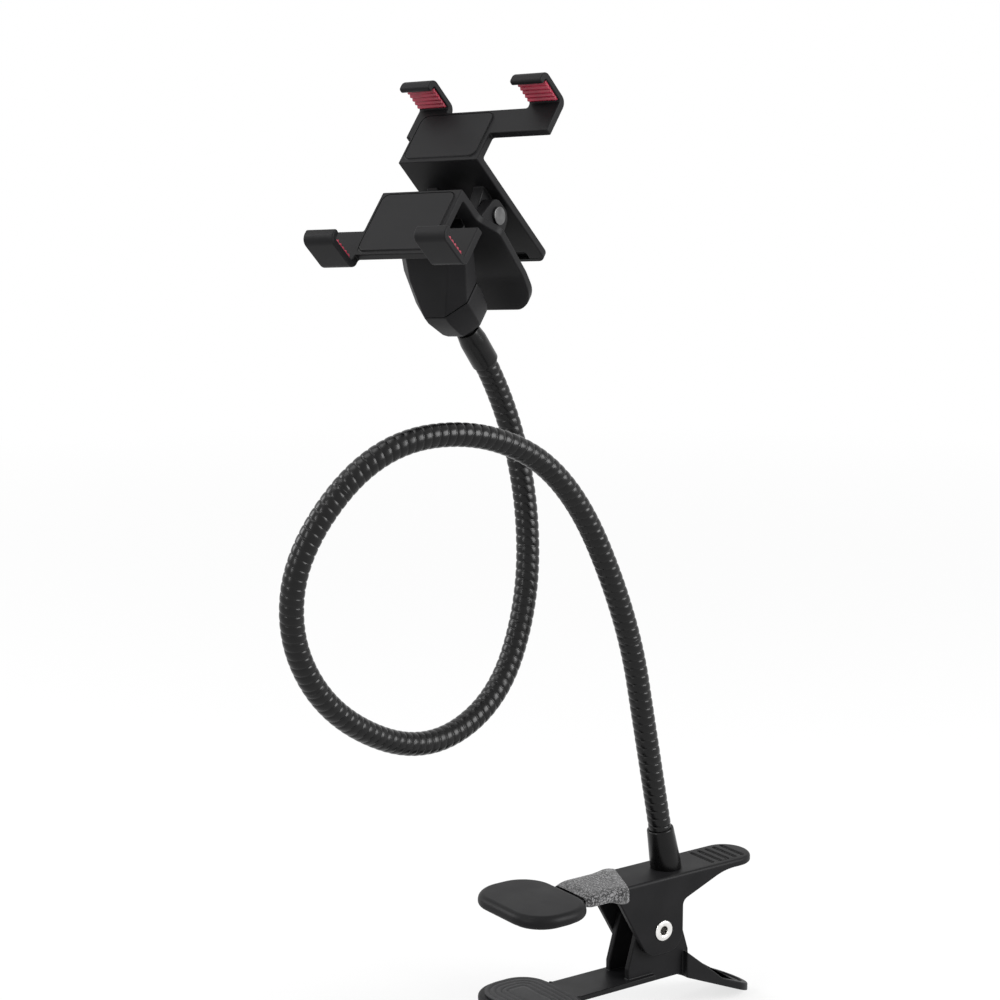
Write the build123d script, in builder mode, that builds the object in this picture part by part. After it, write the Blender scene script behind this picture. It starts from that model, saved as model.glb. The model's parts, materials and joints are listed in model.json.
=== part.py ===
"""Phone gooseneck holder: a spring desk clamp, a bendable neck and a double-claw clip on a ball swivel.

World frame: Z up, X along the clamp arm towards its handles, Y along the clamp pivot.
The origin is the middle of the upper pad's gripping face. All sizes are in millimetres.
"""

import os
from math import acos, cos, radians, sin, tan

from build123d import *

os.makedirs("parts", exist_ok=True)

# Desk clamp sizes
foot_depth = 30.0
foot_span = 42.0
foot_corner = 13.0
foot_thick = 4.4
foot_edge = 2.6
foot_under = 1.4
pad_thick = 0.9
pad_inset = 2.4
grip_gap = 32.0
arm_width = 17.0
arm_thick = 2.2
arm_root = 4.0
sleeve_thick = 0.8
sleeve_gap = 0.1
sleeve_lift = 0.05
sleeve_cut_gap = 0.2
sleeve_start = 17.0
sleeve_end_near = 33.0
sleeve_end_far = 43.0
jaw_width = 19.0
jaw_wall = 2.4
pivot_reach = 52.6
plate_front = 20.0
skirt_nose = 14.0
skirt_rear = 9.3
skirt_hip = 9.6
skirt_run = 29.0
ear_front = 7.0
ear_drop = 9.0
handle_reach = 98.5
handle_drop = 15.5
handle_lip = 2.8
handle_edge = 1.2
tip_corner = 9.4
ear_gap = 0.3
low_front = 14.0
low_knee = 9.0
low_ear = 8.0
low_cheek = 11.0
low_wall_rise = 7.0
low_lip = 3.1
groove_start = 6.0
groove_margin = 3.0
groove_count = 5
groove_pitch = 3.6
groove_width = 1.1
groove_depth = 0.6

# Clamp pivot and spring sizes
eyelet_radius = 2.4
eyelet_bore = 1.65
eyelet_flange = 3.35
eyelet_rim = 0.8
running_gap = 0.05
spring_wire = 1.5
spring_turns = 5
clamp_legs = ((-36.5, 30.0, -1), (27.0, 26.0, 1))
clip_wire = 1.1
clip_turns = 8
clip_legs = ((-8.0, 20.0, -1), (8.5, 20.0, 1))
coil_gap = 0.5

# Gooseneck sizes
neck_radius = 4.2
neck_lean = 11.0
neck_foot_x = 61.0
first_run = 98.6
last_run = 13.5
first_knuckle = 55.0
turn_share = 0.42
knuckle_radius = 3.6
knuckle_gap = 0.15
knuckle_slot = 2.0
ferrule_height = 16.0
ferrule_low = 5.7
ferrule_top = 4.9
ferrule_collar = 2.5
ferrule_floor = 3.5
screw_radius = 1.65
screw_head = 3.4
screw_head_thick = 2.0
boss_radius = 4.6
boss_drop = 4.5
screw_gap = 0.2
socket_radius = 1.5
socket_depth = 1.2

# Swivel sizes
head_rise = 213.4
head_reach = 69.9
head_side = 39.2
ball_radius = 8.0
ball_gap = 0.15
stem_radius = 3.0
stem_length = 23.6
stem_lean = 7.0
stem_seat = 1.2
neck_seat = 1.4
head_ferrule_near = 17.8
head_ferrule_far = 33.4
head_ferrule_taper = 5.0
nut_length = 14.0
nut_flats = 11.0
nut_shoulder = 9.4
nut_small = 8.2
nut_mouth = 7.0
nut_seam = 0.3
nut_straight = 3.6
nut_taper = 11.6
thread_radius = 9.6
thread_length = 3.0
thread_gap = 0.1
lip_start = 4.9
lip_radius = 5.4

# Phone clip sizes
clip_yaw = 14.0
clip_tilt = 44.0
clip_roll = 7.8
clip_opening = 67.0
swivel_up = 10.8
swivel_depth = 41.0
claw_width = 12.9
claw_spacing = 47.2
lower_claw_shift = 1.5
claw_shift = 10.8
claw_wall = 2.4
claw_front = 5.0
claw_lip = 1.6
claw_bend = 3.2
claw_tip = 1.0
claw_crease = 0.8
claw_back = 5.0
claw_pad = 1.2
pad_rib = 0.6
pad_ribs = 5
pad_margin = 1.0
pad_side = 0.6
plate_depth = 8.5
plate_thick = 3.0
bar_height = 11.0
bar_rise = 1.0
plate_half = 17.0
paddle_half = 22.5
paddle_end_half = 18.5
paddle_waist = 22.0
paddle_shoulder = 29.0
paddle_bend = 5.0
handle_thick = 3.0
lower_handle_v = 26.5
upper_handle_v = 43.0
lower_handle_end = 66.0
upper_handle_end = 63.0
handle_flare = 3.5
handle_crown = 2.4
flare_length = 14.0
flare_bends = (18.0, 15.0)
flare_overrun = 0.7
handle_round = 1.2
grip_thick = 4.2
rest_rise = 0.5
rest_margin = 1.5
rest_corner = 3.0
handle_corner = 11.0
upper_corner = 4.0
housing_start = 20.0
housing_half = 14.0
housing_low = 16.8
housing_rise = 1.5
housing_cut = 4.5
housing_bulge = 0.9
hinge_v = 36.0
hinge_depth = 30.0
hinge_radius = 2.0
hinge_ear = 5.0
ear_thick = 4.5
ear_foot = 8.0
ear_sink = 1.0
ear_round = 4.4
pin_head = 3.2
pin_head_thick = 1.0
pin_gap = 0.02
pocket_inner = 4.4
pocket_width = 6.1
pocket_length = 3.2
pocket_depth = 1.2
pocket_inset = 4.0

# Derived clamp levels
arm_low = sleeve_lift + sleeve_thick + sleeve_gap
arm_top = arm_low + arm_thick
plate_top = arm_top + sleeve_gap + sleeve_thick
pivot_z = -grip_gap / 2
low_plate = -grip_gap - plate_top
handle_slope = handle_drop / (handle_reach - pivot_reach - low_knee)
mid_plane = Plane.XY.offset(pivot_z)
inner_width = jaw_width - 2 * jaw_wall
low_width = inner_width - 2 * ear_gap
low_inner = low_width - 2 * jaw_wall

# Neck foot: the leaning axis that the base ferrule, its screw and the first span share
lean = radians(neck_lean)
neck_axis = Vector(-sin(lean), 0, cos(lean))
neck_foot = Vector(neck_foot_x, 0, plate_top)
foot_plane = Plane(origin=neck_foot, x_dir=(cos(lean), 0, sin(lean)), z_dir=neck_axis)

# Derived clip frame: across, up and out of the clip's opening
swivel_centre = neck_foot + Vector(-head_reach, head_side, head_rise)
yaw, tilt, roll = radians(clip_yaw), radians(clip_tilt), radians(clip_roll)
normal = Vector(-sin(tilt) * cos(yaw), -sin(tilt) * sin(yaw), cos(tilt))
level = Vector(sin(yaw), -cos(yaw), 0)
across = level * cos(roll) + normal.cross(level) * sin(roll)
upward = normal.cross(across)
clip_origin = swivel_centre - upward * swivel_up + normal * swivel_depth
clip_plane = Plane(origin=clip_origin, x_dir=across, z_dir=normal)
swivel_plane = Plane(origin=swivel_centre, x_dir=across, z_dir=-normal)
stem_down = -normal * cos(radians(stem_lean)) - upward * sin(radians(stem_lean))
stem_plane = Plane(origin=swivel_centre, x_dir=across, z_dir=stem_down)


def depth_plane(depth):
    """Plane parallel to the clip's opening, a depth behind it."""
    return clip_plane.offset(-depth)


def side_plane(shift):
    """Plane across the clip, drawn with depth along x and the clip's up along y."""
    return Plane(
        origin=clip_plane.from_local_coords(Vector(shift, 0, 0)),
        x_dir=-clip_plane.z_dir,
        z_dir=clip_plane.x_dir,
    )


# Desk clamp: foot and arm, shared by both jaws
with BuildPart() as jaw_front:
    with BuildSketch(Plane.XY.offset(pad_thick)):
        RectangleRounded(foot_depth, foot_span, foot_corner)
    extrude(amount=foot_thick)
    fillet(jaw_front.faces().sort_by(Axis.Z)[-1].edges(), radius=foot_edge)
    fillet(jaw_front.faces().sort_by(Axis.Z)[0].edges(), radius=foot_under)
    with BuildSketch(Plane.XZ):
        with BuildLine():
            Polyline(
                (arm_root, arm_low),
                (pivot_reach - jaw_wall, arm_low),
                (pivot_reach - jaw_wall, arm_top),
                (arm_root, arm_top),
                close=True,
            )
        make_face()
    extrude(amount=arm_width / 2, both=True)
front_low = mirror(jaw_front.part, about=mid_plane)

# Desk clamp: upper jaw
with BuildPart() as upper_jaw:
    with BuildSketch(Plane.XZ):
        with BuildLine():
            FilletPolyline(
                (pivot_reach - plate_front, plate_top),
                (handle_reach, plate_top),
                (handle_reach, plate_top - handle_lip),
                (pivot_reach + skirt_run, plate_top - handle_lip),
                (pivot_reach + skirt_rear, pivot_z + skirt_hip),
                (pivot_reach + skirt_rear, pivot_z - ear_drop),
                (pivot_reach - ear_front, pivot_z - ear_drop),
                (pivot_reach - plate_front, pivot_z + skirt_nose),
                radius=(0, 0, 0, 25.0, 3.0, 7.0, 7.0, 0),
                close=True,
            )
        make_face()
    extrude(amount=jaw_width / 2, both=True)
    fillet(upper_jaw.edges().filter_by(Axis.Z).group_by(Axis.X)[-1], radius=tip_corner)
    fillet(upper_jaw.faces().sort_by(Axis.Z)[-1].edges().sort_by(Axis.X)[1:], radius=handle_edge)
    with BuildSketch(Plane.XY.offset(plate_top - jaw_wall)):
        with BuildLine():
            FilletPolyline(
                (pivot_reach - plate_front - jaw_wall, -inner_width / 2),
                (handle_reach - jaw_wall, -inner_width / 2),
                (handle_reach - jaw_wall, inner_width / 2),
                (pivot_reach - plate_front - jaw_wall, inner_width / 2),
                radius=(0, tip_corner - jaw_wall, tip_corner - jaw_wall, 0),
                close=True,
            )
        make_face()
    extrude(amount=2 * low_plate, mode=Mode.SUBTRACT)
    with BuildSketch(Plane.XY.offset(plate_top + 1.0)):
        with BuildLine():
            Polyline(
                (sleeve_start, -jaw_width),
                (sleeve_end_near - (sleeve_end_far - sleeve_end_near) / 2, -jaw_width),
                (sleeve_end_far + (sleeve_end_far - sleeve_end_near) / 2, jaw_width),
                (sleeve_start, jaw_width),
                close=True,
            )
        make_face()
    extrude(amount=-plate_top - 1.5, mode=Mode.SUBTRACT)
    add(jaw_front.part)
    with BuildSketch(foot_plane):
        Circle(boss_radius)
    extrude(amount=-boss_drop)
    with BuildSketch(Plane.XY.offset(plate_top)):
        with Locations((neck_foot_x, 0)):
            Rectangle(4 * boss_radius, 4 * boss_radius)
    extrude(amount=boss_drop, mode=Mode.SUBTRACT)
    with BuildSketch(foot_plane):
        Circle(screw_radius + screw_gap)
    extrude(amount=2 * boss_drop, both=True, mode=Mode.SUBTRACT)
    with BuildSketch(Plane.XZ):
        with Locations((pivot_reach, pivot_z)):
            Circle(eyelet_radius + running_gap)
    extrude(amount=jaw_width, both=True, mode=Mode.SUBTRACT)
    with BuildSketch(Plane.XZ):
        for step in range(groove_count):
            with Locations((handle_reach - groove_start - step * groove_pitch, plate_top)):
                Rectangle(groove_width, 2 * groove_depth)
    extrude(amount=jaw_width / 2 - groove_margin, both=True, mode=Mode.SUBTRACT)

# Desk clamp: lower jaw, its handle channel first
with BuildPart() as lower_channel:
    with BuildSketch(Plane.XZ):
        with BuildLine():
            Polyline(
                (pivot_reach + low_front, low_plate + jaw_wall - (low_front - low_knee) * handle_slope),
                (handle_reach - jaw_wall, low_plate + jaw_wall - handle_drop + jaw_wall * handle_slope),
                (handle_reach - jaw_wall, pivot_z),
                (pivot_reach + low_front, pivot_z),
                close=True,
            )
        make_face()
    extrude(amount=inner_width / 2, both=True)
    fillet(lower_channel.edges().filter_by(Axis.Z).group_by(Axis.X)[-1], radius=tip_corner - jaw_wall)

low_neck_x = pivot_reach + (low_knee + low_front) / 2
low_open_x = pivot_reach + low_front + jaw_wall
with BuildPart() as lower_jaw:
    with BuildSketch(Plane.XZ):
        with BuildLine():
            Polyline(
                (low_neck_x, low_plate - (low_neck_x - pivot_reach - low_knee) * handle_slope),
                (handle_reach, low_plate - handle_drop),
                (handle_reach, low_plate - handle_drop + low_lip),
                (pivot_reach + skirt_run, low_plate - (skirt_run - low_knee) * handle_slope + low_lip),
                (low_neck_x, pivot_z - low_cheek),
                close=True,
            )
        make_face()
    extrude(amount=jaw_width / 2, both=True)
    with BuildSketch(Plane.XY.offset(low_plate)):
        with BuildLine():
            FilletPolyline(
                (pivot_reach, -jaw_width / 2),
                (handle_reach, -jaw_width / 2),
                (handle_reach, jaw_width / 2),
                (pivot_reach, jaw_width / 2),
                radius=(0, tip_corner, tip_corner, 0),
                close=True,
            )
        make_face()
    extrude(amount=-low_plate, both=True, mode=Mode.INTERSECT)
    add(lower_channel.part, mode=Mode.SUBTRACT)
    with BuildSketch(Plane.XZ):
        with BuildLine():
            FilletPolyline(
                (pivot_reach - low_front, low_plate),
                (pivot_reach + low_knee, low_plate),
                (pivot_reach + low_front, low_plate - (low_front - low_knee) * handle_slope),
                (pivot_reach + low_front, pivot_z - low_cheek),
                (pivot_reach + low_ear, pivot_z + low_ear),
                (pivot_reach - low_ear, pivot_z + low_ear),
                (pivot_reach - low_front, low_plate + low_wall_rise),
                radius=(0, 0, 0, 2.0, 7.0, 7.0, 2.0),
                close=True,
            )
        make_face()
    extrude(amount=low_width / 2, both=True)
    with BuildSketch(Plane.XZ):
        with BuildLine():
            Polyline(
                (pivot_reach - 2 * low_front, low_plate + jaw_wall),
                (pivot_reach + low_knee, low_plate + jaw_wall),
                (low_open_x, low_plate + jaw_wall - (low_open_x - pivot_reach - low_knee) * handle_slope),
                (low_open_x, plate_top),
                (pivot_reach - 2 * low_front, plate_top),
                close=True,
            )
        make_face()
    extrude(amount=low_inner / 2, both=True, mode=Mode.SUBTRACT)
    add(front_low)
    with BuildSketch(Plane.XZ):
        with Locations((pivot_reach, pivot_z)):
            Circle(eyelet_radius + running_gap)
    extrude(amount=jaw_width, both=True, mode=Mode.SUBTRACT)

# Desk clamp: rubber pads on the two feet
with BuildPart() as upper_jaw_pad:
    with BuildSketch(Plane.XY):
        RectangleRounded(
            foot_depth - 2 * pad_inset, foot_span - 2 * pad_inset, foot_corner - pad_inset
        )
    extrude(amount=pad_thick)

with BuildPart() as lower_jaw_pad:
    add(mirror(upper_jaw_pad.part, about=mid_plane))

# Desk clamp: hollow eyelet, its flanges outside the ears
with BuildPart() as pivot_eyelet:
    with BuildSketch(Plane.XY):
        with BuildLine():
            Polyline(
                (eyelet_bore, -jaw_width / 2 - eyelet_rim),
                (eyelet_flange, -jaw_width / 2 - eyelet_rim),
                (eyelet_flange, -jaw_width / 2),
                (eyelet_radius, -jaw_width / 2),
                (eyelet_radius, jaw_width / 2),
                (eyelet_flange, jaw_width / 2),
                (eyelet_flange, jaw_width / 2 + eyelet_rim),
                (eyelet_bore, jaw_width / 2 + eyelet_rim),
                close=True,
            )
        make_face()
    revolve(axis=Axis.Y)
    chamfer(pivot_eyelet.edges().filter_by(GeomType.CIRCLE).group_by(Axis.Y)[0], length=0.3)
    chamfer(pivot_eyelet.edges().filter_by(GeomType.CIRCLE).group_by(Axis.Y)[-1], length=0.3)
pivot_eyelet.part = Pos(pivot_reach, 0, pivot_z) * pivot_eyelet.part


def coil(plane, bore, wire, turns, legs):
    """Torsion spring: a ribbed coil round the plane's z axis and a straight leg at each end.

    legs holds, for each end, the leg's angle in the plane, its length and the side it leaves on.
    """
    half = turns * wire / 2
    mean = bore + wire / 2
    with BuildPart() as spring:
        with BuildSketch(Plane.XZ):
            with BuildLine():
                Line((bore, -half), (mean, -half))
                for turn in range(turns):
                    start = -half + turn * wire
                    ThreePointArc((mean, start), (mean + wire / 2, start + wire / 2), (mean, start + wire))
                Line((mean, half), (bore, half))
                Line((bore, half), (bore, -half))
            make_face()
        revolve(axis=Axis.Z)
        for end, (angle, length, side) in zip((-1, 1), legs):
            turned = radians(angle)
            out = Vector(cos(turned), sin(turned), 0)
            off = Vector(-sin(turned), cos(turned), 0) * (side * mean)
            root = off + Vector(0, 0, end * (half - wire / 2))
            with BuildSketch(Plane(origin=root, z_dir=out)):
                Circle(wire / 2)
            extrude(amount=length)
    return plane.location * spring.part


# Desk clamp: torsion spring round the eyelet, one leg along each handle
clamp_axis = Plane(origin=(pivot_reach, 0, pivot_z), x_dir=(1, 0, 0), z_dir=(0, -1, 0))
with BuildPart() as clamp_spring:
    add(coil(clamp_axis, eyelet_radius + coil_gap, spring_wire, spring_turns, clamp_legs))

# Desk clamp: woven sleeve round the arm, its rear edge cut on the slant
with BuildPart() as woven_sleeve:
    with BuildSketch(Plane.YZ.offset(sleeve_start)):
        with Locations((0, (arm_top + arm_low) / 2)):
            Rectangle(
                arm_width + 2 * sleeve_gap + 2 * sleeve_thick,
                arm_top - arm_low + 2 * sleeve_gap + 2 * sleeve_thick,
            )
            Rectangle(
                arm_width + 2 * sleeve_gap, arm_top - arm_low + 2 * sleeve_gap, mode=Mode.SUBTRACT
            )
    extrude(amount=sleeve_end_far - sleeve_start + 4.0)
    with BuildSketch(Plane.XY):
        with BuildLine():
            Polyline(
                (sleeve_end_near - sleeve_cut_gap - (sleeve_end_far - sleeve_end_near) / 2, -jaw_width),
                (sleeve_end_far - sleeve_cut_gap + (sleeve_end_far - sleeve_end_near) / 2, jaw_width),
                (handle_reach, jaw_width),
                (handle_reach, -jaw_width),
                close=True,
            )
        make_face()
    extrude(amount=2 * plate_top, both=True, mode=Mode.SUBTRACT)

# Gooseneck: base ferrule and its screw
with BuildPart() as base_ferrule:
    with BuildSketch(Plane.XZ):
        with BuildLine():
            FilletPolyline(
                (screw_radius + running_gap, -boss_drop),
                (ferrule_low, -boss_drop),
                (ferrule_low, ferrule_collar),
                (ferrule_top, ferrule_height),
                (neck_radius + running_gap, ferrule_height),
                (neck_radius + running_gap, ferrule_floor),
                (screw_radius + running_gap, ferrule_floor),
                radius=(0, 0, 8.0, 0.6, 0, 0, 0),
                close=True,
            )
        make_face()
    revolve(axis=Axis.Z)
base_ferrule.part = foot_plane.location * base_ferrule.part
base_ferrule.part = base_ferrule.part.split(Plane.XY.offset(plate_top), keep=Keep.TOP)

with BuildPart() as base_screw:
    with BuildSketch(Plane.XY.offset(-boss_drop)):
        Circle(screw_head)
    extrude(amount=-screw_head_thick)
    fillet(base_screw.faces().sort_by(Axis.Z)[0].edges(), radius=0.8)
    with BuildSketch(Plane.XY.offset(-boss_drop)):
        Circle(screw_radius)
    extrude(amount=boss_drop + ferrule_floor)
    with BuildSketch(Plane.XY.offset(-boss_drop - screw_head_thick)):
        RegularPolygon(socket_radius, 6)
    extrude(amount=socket_depth, mode=Mode.SUBTRACT)
base_screw.part = foot_plane.location * base_screw.part

# Gooseneck: hand-chosen corners of its route, rounded into tangent arcs
neck_end = swivel_centre + stem_down * (stem_length + neck_seat)
neck_turns = [
    neck_foot + neck_axis * first_run,
    neck_foot + Vector(-44, 1, 151),
    neck_foot + Vector(-79, 3, 172),
    neck_foot + Vector(-120, 6, 171),
    neck_foot + Vector(-150, 9, 140),
    neck_foot + Vector(-153, 12, 107),
    neck_foot + Vector(-134, 14, 76),
    neck_foot + Vector(-95, 18, 56),
    neck_foot + Vector(-60, 23, 67),
    neck_foot + Vector(-41, 30, 100),
    neck_foot + Vector(-35, 39, 138),
    swivel_centre + stem_down * (head_ferrule_far + last_run),
]
neck_points = [neck_foot] + neck_turns + [swivel_centre + stem_down * head_ferrule_far]


def turn_radius(index):
    """Arc radius that rounds one corner of the route and leaves its runs a little straight."""
    before, corner, after = neck_points[index - 1], neck_points[index], neck_points[index + 1]
    run_in, run_out = corner - before, after - corner
    turn = acos(run_in.normalized().dot(run_out.normalized()))
    return turn_share * min(run_in.length, run_out.length) / tan(turn / 2)


def mid_run(index):
    """Middle of the straight run that follows one corner."""
    return (neck_points[index] + neck_points[index + 1]) * 0.5


# Each knuckle sits on a straight run, every second one; the corners between two knuckles belong to one span
knuckle_runs = range(1, len(neck_turns), 2)
run_limits = [0, *knuckle_runs, len(neck_turns)]
knuckles = [neck_foot + neck_axis * first_knuckle] + [mid_run(index) for index in knuckle_runs]
span_starts = [neck_foot + neck_axis * (ferrule_floor + screw_gap)] + knuckles
span_ends = knuckles + [neck_end]
span_corners = [()] + [tuple(range(low + 1, high + 1)) for low, high in zip(run_limits, run_limits[1:])]
neck_spans = []
for number, (start, end, corners) in enumerate(zip(span_starts, span_ends, span_corners), 1):
    first = neck_points[corners[0]] if corners else end
    last = neck_points[corners[-1]] if corners else start
    heading, leaving = (first - start).normalized(), (end - last).normalized()
    begin = start + heading * knuckle_slot if number > 1 else start
    with BuildPart() as span:
        with BuildLine() as route:
            if corners:
                FilletPolyline(
                    begin,
                    *[neck_points[index] for index in corners],
                    end,
                    radius=[turn_radius(index) for index in corners],
                )
            else:
                Line(begin, end)
        with BuildSketch(Plane(origin=begin, z_dir=heading)):
            Circle(neck_radius)
        sweep(path=route.wire())
        if number < len(span_ends):
            with Locations(Plane(origin=end, z_dir=leaving)):
                Sphere(knuckle_radius)
        if number > 1:
            with Locations(Plane(origin=start, z_dir=heading)):
                Sphere(knuckle_radius + knuckle_gap, mode=Mode.SUBTRACT)
    neck_spans.append(span)

# Swivel: ball with its stem, drawn along the stem
with BuildPart() as swivel_ball:
    Sphere(ball_radius)
    with BuildSketch(Plane.XY):
        Circle(stem_radius)
    extrude(amount=stem_length)
swivel_ball.part = stem_plane.location * swivel_ball.part

# Swivel: ferrule that takes the stem above and the neck below
with BuildPart() as head_ferrule:
    with BuildSketch(Plane.XZ):
        with BuildLine():
            FilletPolyline(
                (stem_radius + running_gap, head_ferrule_near),
                (neck_radius, head_ferrule_near),
                (ferrule_top, head_ferrule_near + head_ferrule_taper),
                (ferrule_top, head_ferrule_far),
                (neck_radius + running_gap, head_ferrule_far),
                (neck_radius + running_gap, stem_length + stem_seat),
                (stem_radius + running_gap, stem_length + stem_seat),
                radius=(0, 0.5, 6.0, 0.5, 0, 0, 0),
                close=True,
            )
        make_face()
    revolve(axis=Axis.Z)
head_ferrule.part = stem_plane.location * head_ferrule.part


def octagon(half_width, low, high, cut):
    """Corner points of an upright octagon with its corners cut by the same amount."""
    return [
        (cut - half_width, low),
        (half_width - cut, low),
        (half_width, low + cut),
        (half_width, high - cut),
        (half_width - cut, high),
        (cut - half_width, high),
        (-half_width, high - cut),
        (-half_width, low + cut),
    ]


# Swivel: eight-sided lock nut, straight at the seam and tapering down the stem
even_cut = 2 - 2**0.5
flat_cut = even_cut * nut_flats
with BuildPart() as lock_nut:
    with BuildSketch(Plane.XY.offset(nut_seam)):
        Polygon(*octagon(nut_flats, -nut_flats, nut_flats, flat_cut), align=None)
    extrude(amount=nut_straight - nut_seam)
    with BuildSketch(Plane.XY.offset(nut_straight)):
        Polygon(*octagon(nut_flats, -nut_flats, nut_flats, flat_cut), align=None)
    with BuildSketch(Plane.XY.offset(nut_taper)):
        Polygon(*octagon(nut_shoulder, -nut_shoulder, nut_shoulder, even_cut * nut_shoulder), align=None)
    with BuildSketch(Plane.XY.offset(nut_length)):
        Polygon(*octagon(nut_small, -nut_small, nut_small, even_cut * nut_small), align=None)
    loft(ruled=True)
    Sphere(ball_radius + ball_gap, mode=Mode.SUBTRACT)
    with BuildSketch(Plane.XY):
        Circle(thread_radius + thread_gap)
    extrude(amount=thread_length + 2 * thread_gap, mode=Mode.SUBTRACT)
    with BuildSketch(Plane.XZ):
        with BuildLine():
            Polyline(
                (0, lip_start),
                (lip_radius, lip_start),
                (nut_mouth, nut_length),
                (0, nut_length),
                close=True,
            )
        make_face()
    revolve(axis=Axis.Z, mode=Mode.SUBTRACT)
lock_nut.part = swivel_plane.location * lock_nut.part


def claw(shift, upper):
    """One hooked claw of the clip, mirrored across the opening for the upper jaw."""

    def at(depth, height):
        return (depth, clip_opening - height if upper else height)

    outer = -claw_pad - claw_wall
    with BuildPart() as hook:
        with BuildSketch(side_plane(shift - claw_width / 2)):
            with BuildLine():
                FilletPolyline(
                    at(-claw_front, claw_lip),
                    at(-claw_front, outer),
                    at(plate_depth + plate_thick, outer),
                    at(plate_depth + plate_thick, claw_back),
                    at(plate_depth, claw_back),
                    at(plate_depth, -claw_pad),
                    at(claw_wall - claw_front, -claw_pad),
                    at(claw_wall - claw_front, claw_lip),
                    radius=(claw_tip, claw_bend, claw_bend, 0, 0, claw_crease, claw_crease, claw_tip),
                    close=True,
                )
            make_face()
        extrude(amount=claw_width)
    return hook.part


def claw_cushion(shift, upper):
    """Ribbed silicone pad on one claw's wall, its ribs running across the claw."""

    def at(depth, height):
        return (depth, clip_opening - height if upper else height)

    front, back = claw_wall - claw_front + pad_margin, plate_depth - pad_margin
    rib = (back - front) / pad_ribs
    points = [at(front, -claw_pad)]
    for step in range(pad_ribs):
        points.append(at(front + step * rib, -pad_rib))
        points.append(at(front + (step + 0.25) * rib, 0))
        points.append(at(front + (step + 0.6) * rib, 0))
        points.append(at(front + (step + 0.85) * rib, -pad_rib))
    points += [at(back, -pad_rib), at(back, -claw_pad)]
    with BuildPart() as cushion:
        with BuildSketch(side_plane(shift - claw_width / 2 + pad_side)):
            with BuildLine():
                Polyline(*points, close=True)
            make_face()
        extrude(amount=claw_width - 2 * pad_side)
    return cushion.part


def squeeze_handle(side_outline, bends, plan_outline, plan_bends, crown):
    """Squeeze handle from its side outline, cut to its outline in plan and its outer face crowned.

    side_outline gives depth and height, plan_outline depth and half width from the clip to the end.
    crown is the crowned face's lowest height and its rise to the sides, or None for a flat face.
    """
    half = max(width for depth, width in plan_outline)
    end = plan_outline[-1][0]
    with BuildPart() as grip:
        with BuildSketch(side_plane(-half)):
            with BuildLine():
                FilletPolyline(*side_outline, radius=bends, close=True)
            make_face()
        extrude(amount=2 * half)
        with BuildSketch(Plane(origin=clip_origin, x_dir=-normal, z_dir=upward)):
            with BuildLine():
                FilletPolyline(
                    *plan_outline,
                    *[(depth, -width) for depth, width in reversed(plan_outline)],
                    radius=(*plan_bends, *reversed(plan_bends)),
                    close=True,
                )
            make_face()
        extrude(amount=clip_opening, mode=Mode.INTERSECT)
        if crown:
            lowest, rise = crown
            with BuildSketch(depth_plane(0)):
                with BuildLine():
                    ThreePointArc((-half, lowest + rise), (0, lowest), (half, lowest + rise))
                    Polyline(
                        (half, lowest + rise),
                        (half, clip_opening),
                        (-half, clip_opening),
                        (-half, lowest + rise),
                    )
                make_face()
            extrude(amount=-2 * end, mode=Mode.INTERSECT)
    return grip.part


claw_sides = (-claw_spacing / 2, claw_spacing / 2)
lower_claws = [claw(side + lower_claw_shift, False) for side in claw_sides]
upper_claws = [claw(side + claw_shift, True) for side in claw_sides]
bar_half = claw_spacing / 2 + claw_width / 2
lower_grip = squeeze_handle(
    [
        (plate_depth, lower_handle_v),
        (lower_handle_end - flare_length, lower_handle_v),
        (lower_handle_end, lower_handle_v - handle_flare),
        (lower_handle_end + flare_overrun, lower_handle_v - handle_flare + grip_thick),
        (lower_handle_end - flare_length, lower_handle_v + handle_thick),
        (plate_depth, lower_handle_v + handle_thick),
    ],
    (0, flare_bends[0], handle_round, handle_round, flare_bends[1], 0),
    [
        (0, plate_half),
        (paddle_waist, plate_half),
        (paddle_shoulder, paddle_half),
        (lower_handle_end + flare_overrun, paddle_end_half),
    ],
    (0, paddle_bend, paddle_bend, handle_corner),
    (lower_handle_v - handle_flare, handle_crown),
)
upper_grip = squeeze_handle(
    [
        (plate_depth, upper_handle_v),
        (upper_handle_end, upper_handle_v),
        (upper_handle_end, upper_handle_v + handle_thick),
        (plate_depth, upper_handle_v + handle_thick),
    ],
    (0, 1.0, 1.0, 0),
    [(0, plate_half), (upper_handle_end, plate_half)],
    (0, upper_corner),
    None,
)
ear_outer = plate_half
ear_inner = plate_half - ear_thick - ear_gap
plate_height = lower_handle_v + handle_thick - bar_rise
upper_height = clip_opening - bar_rise - upper_handle_v

housing_high = lower_handle_v + housing_rise

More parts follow.
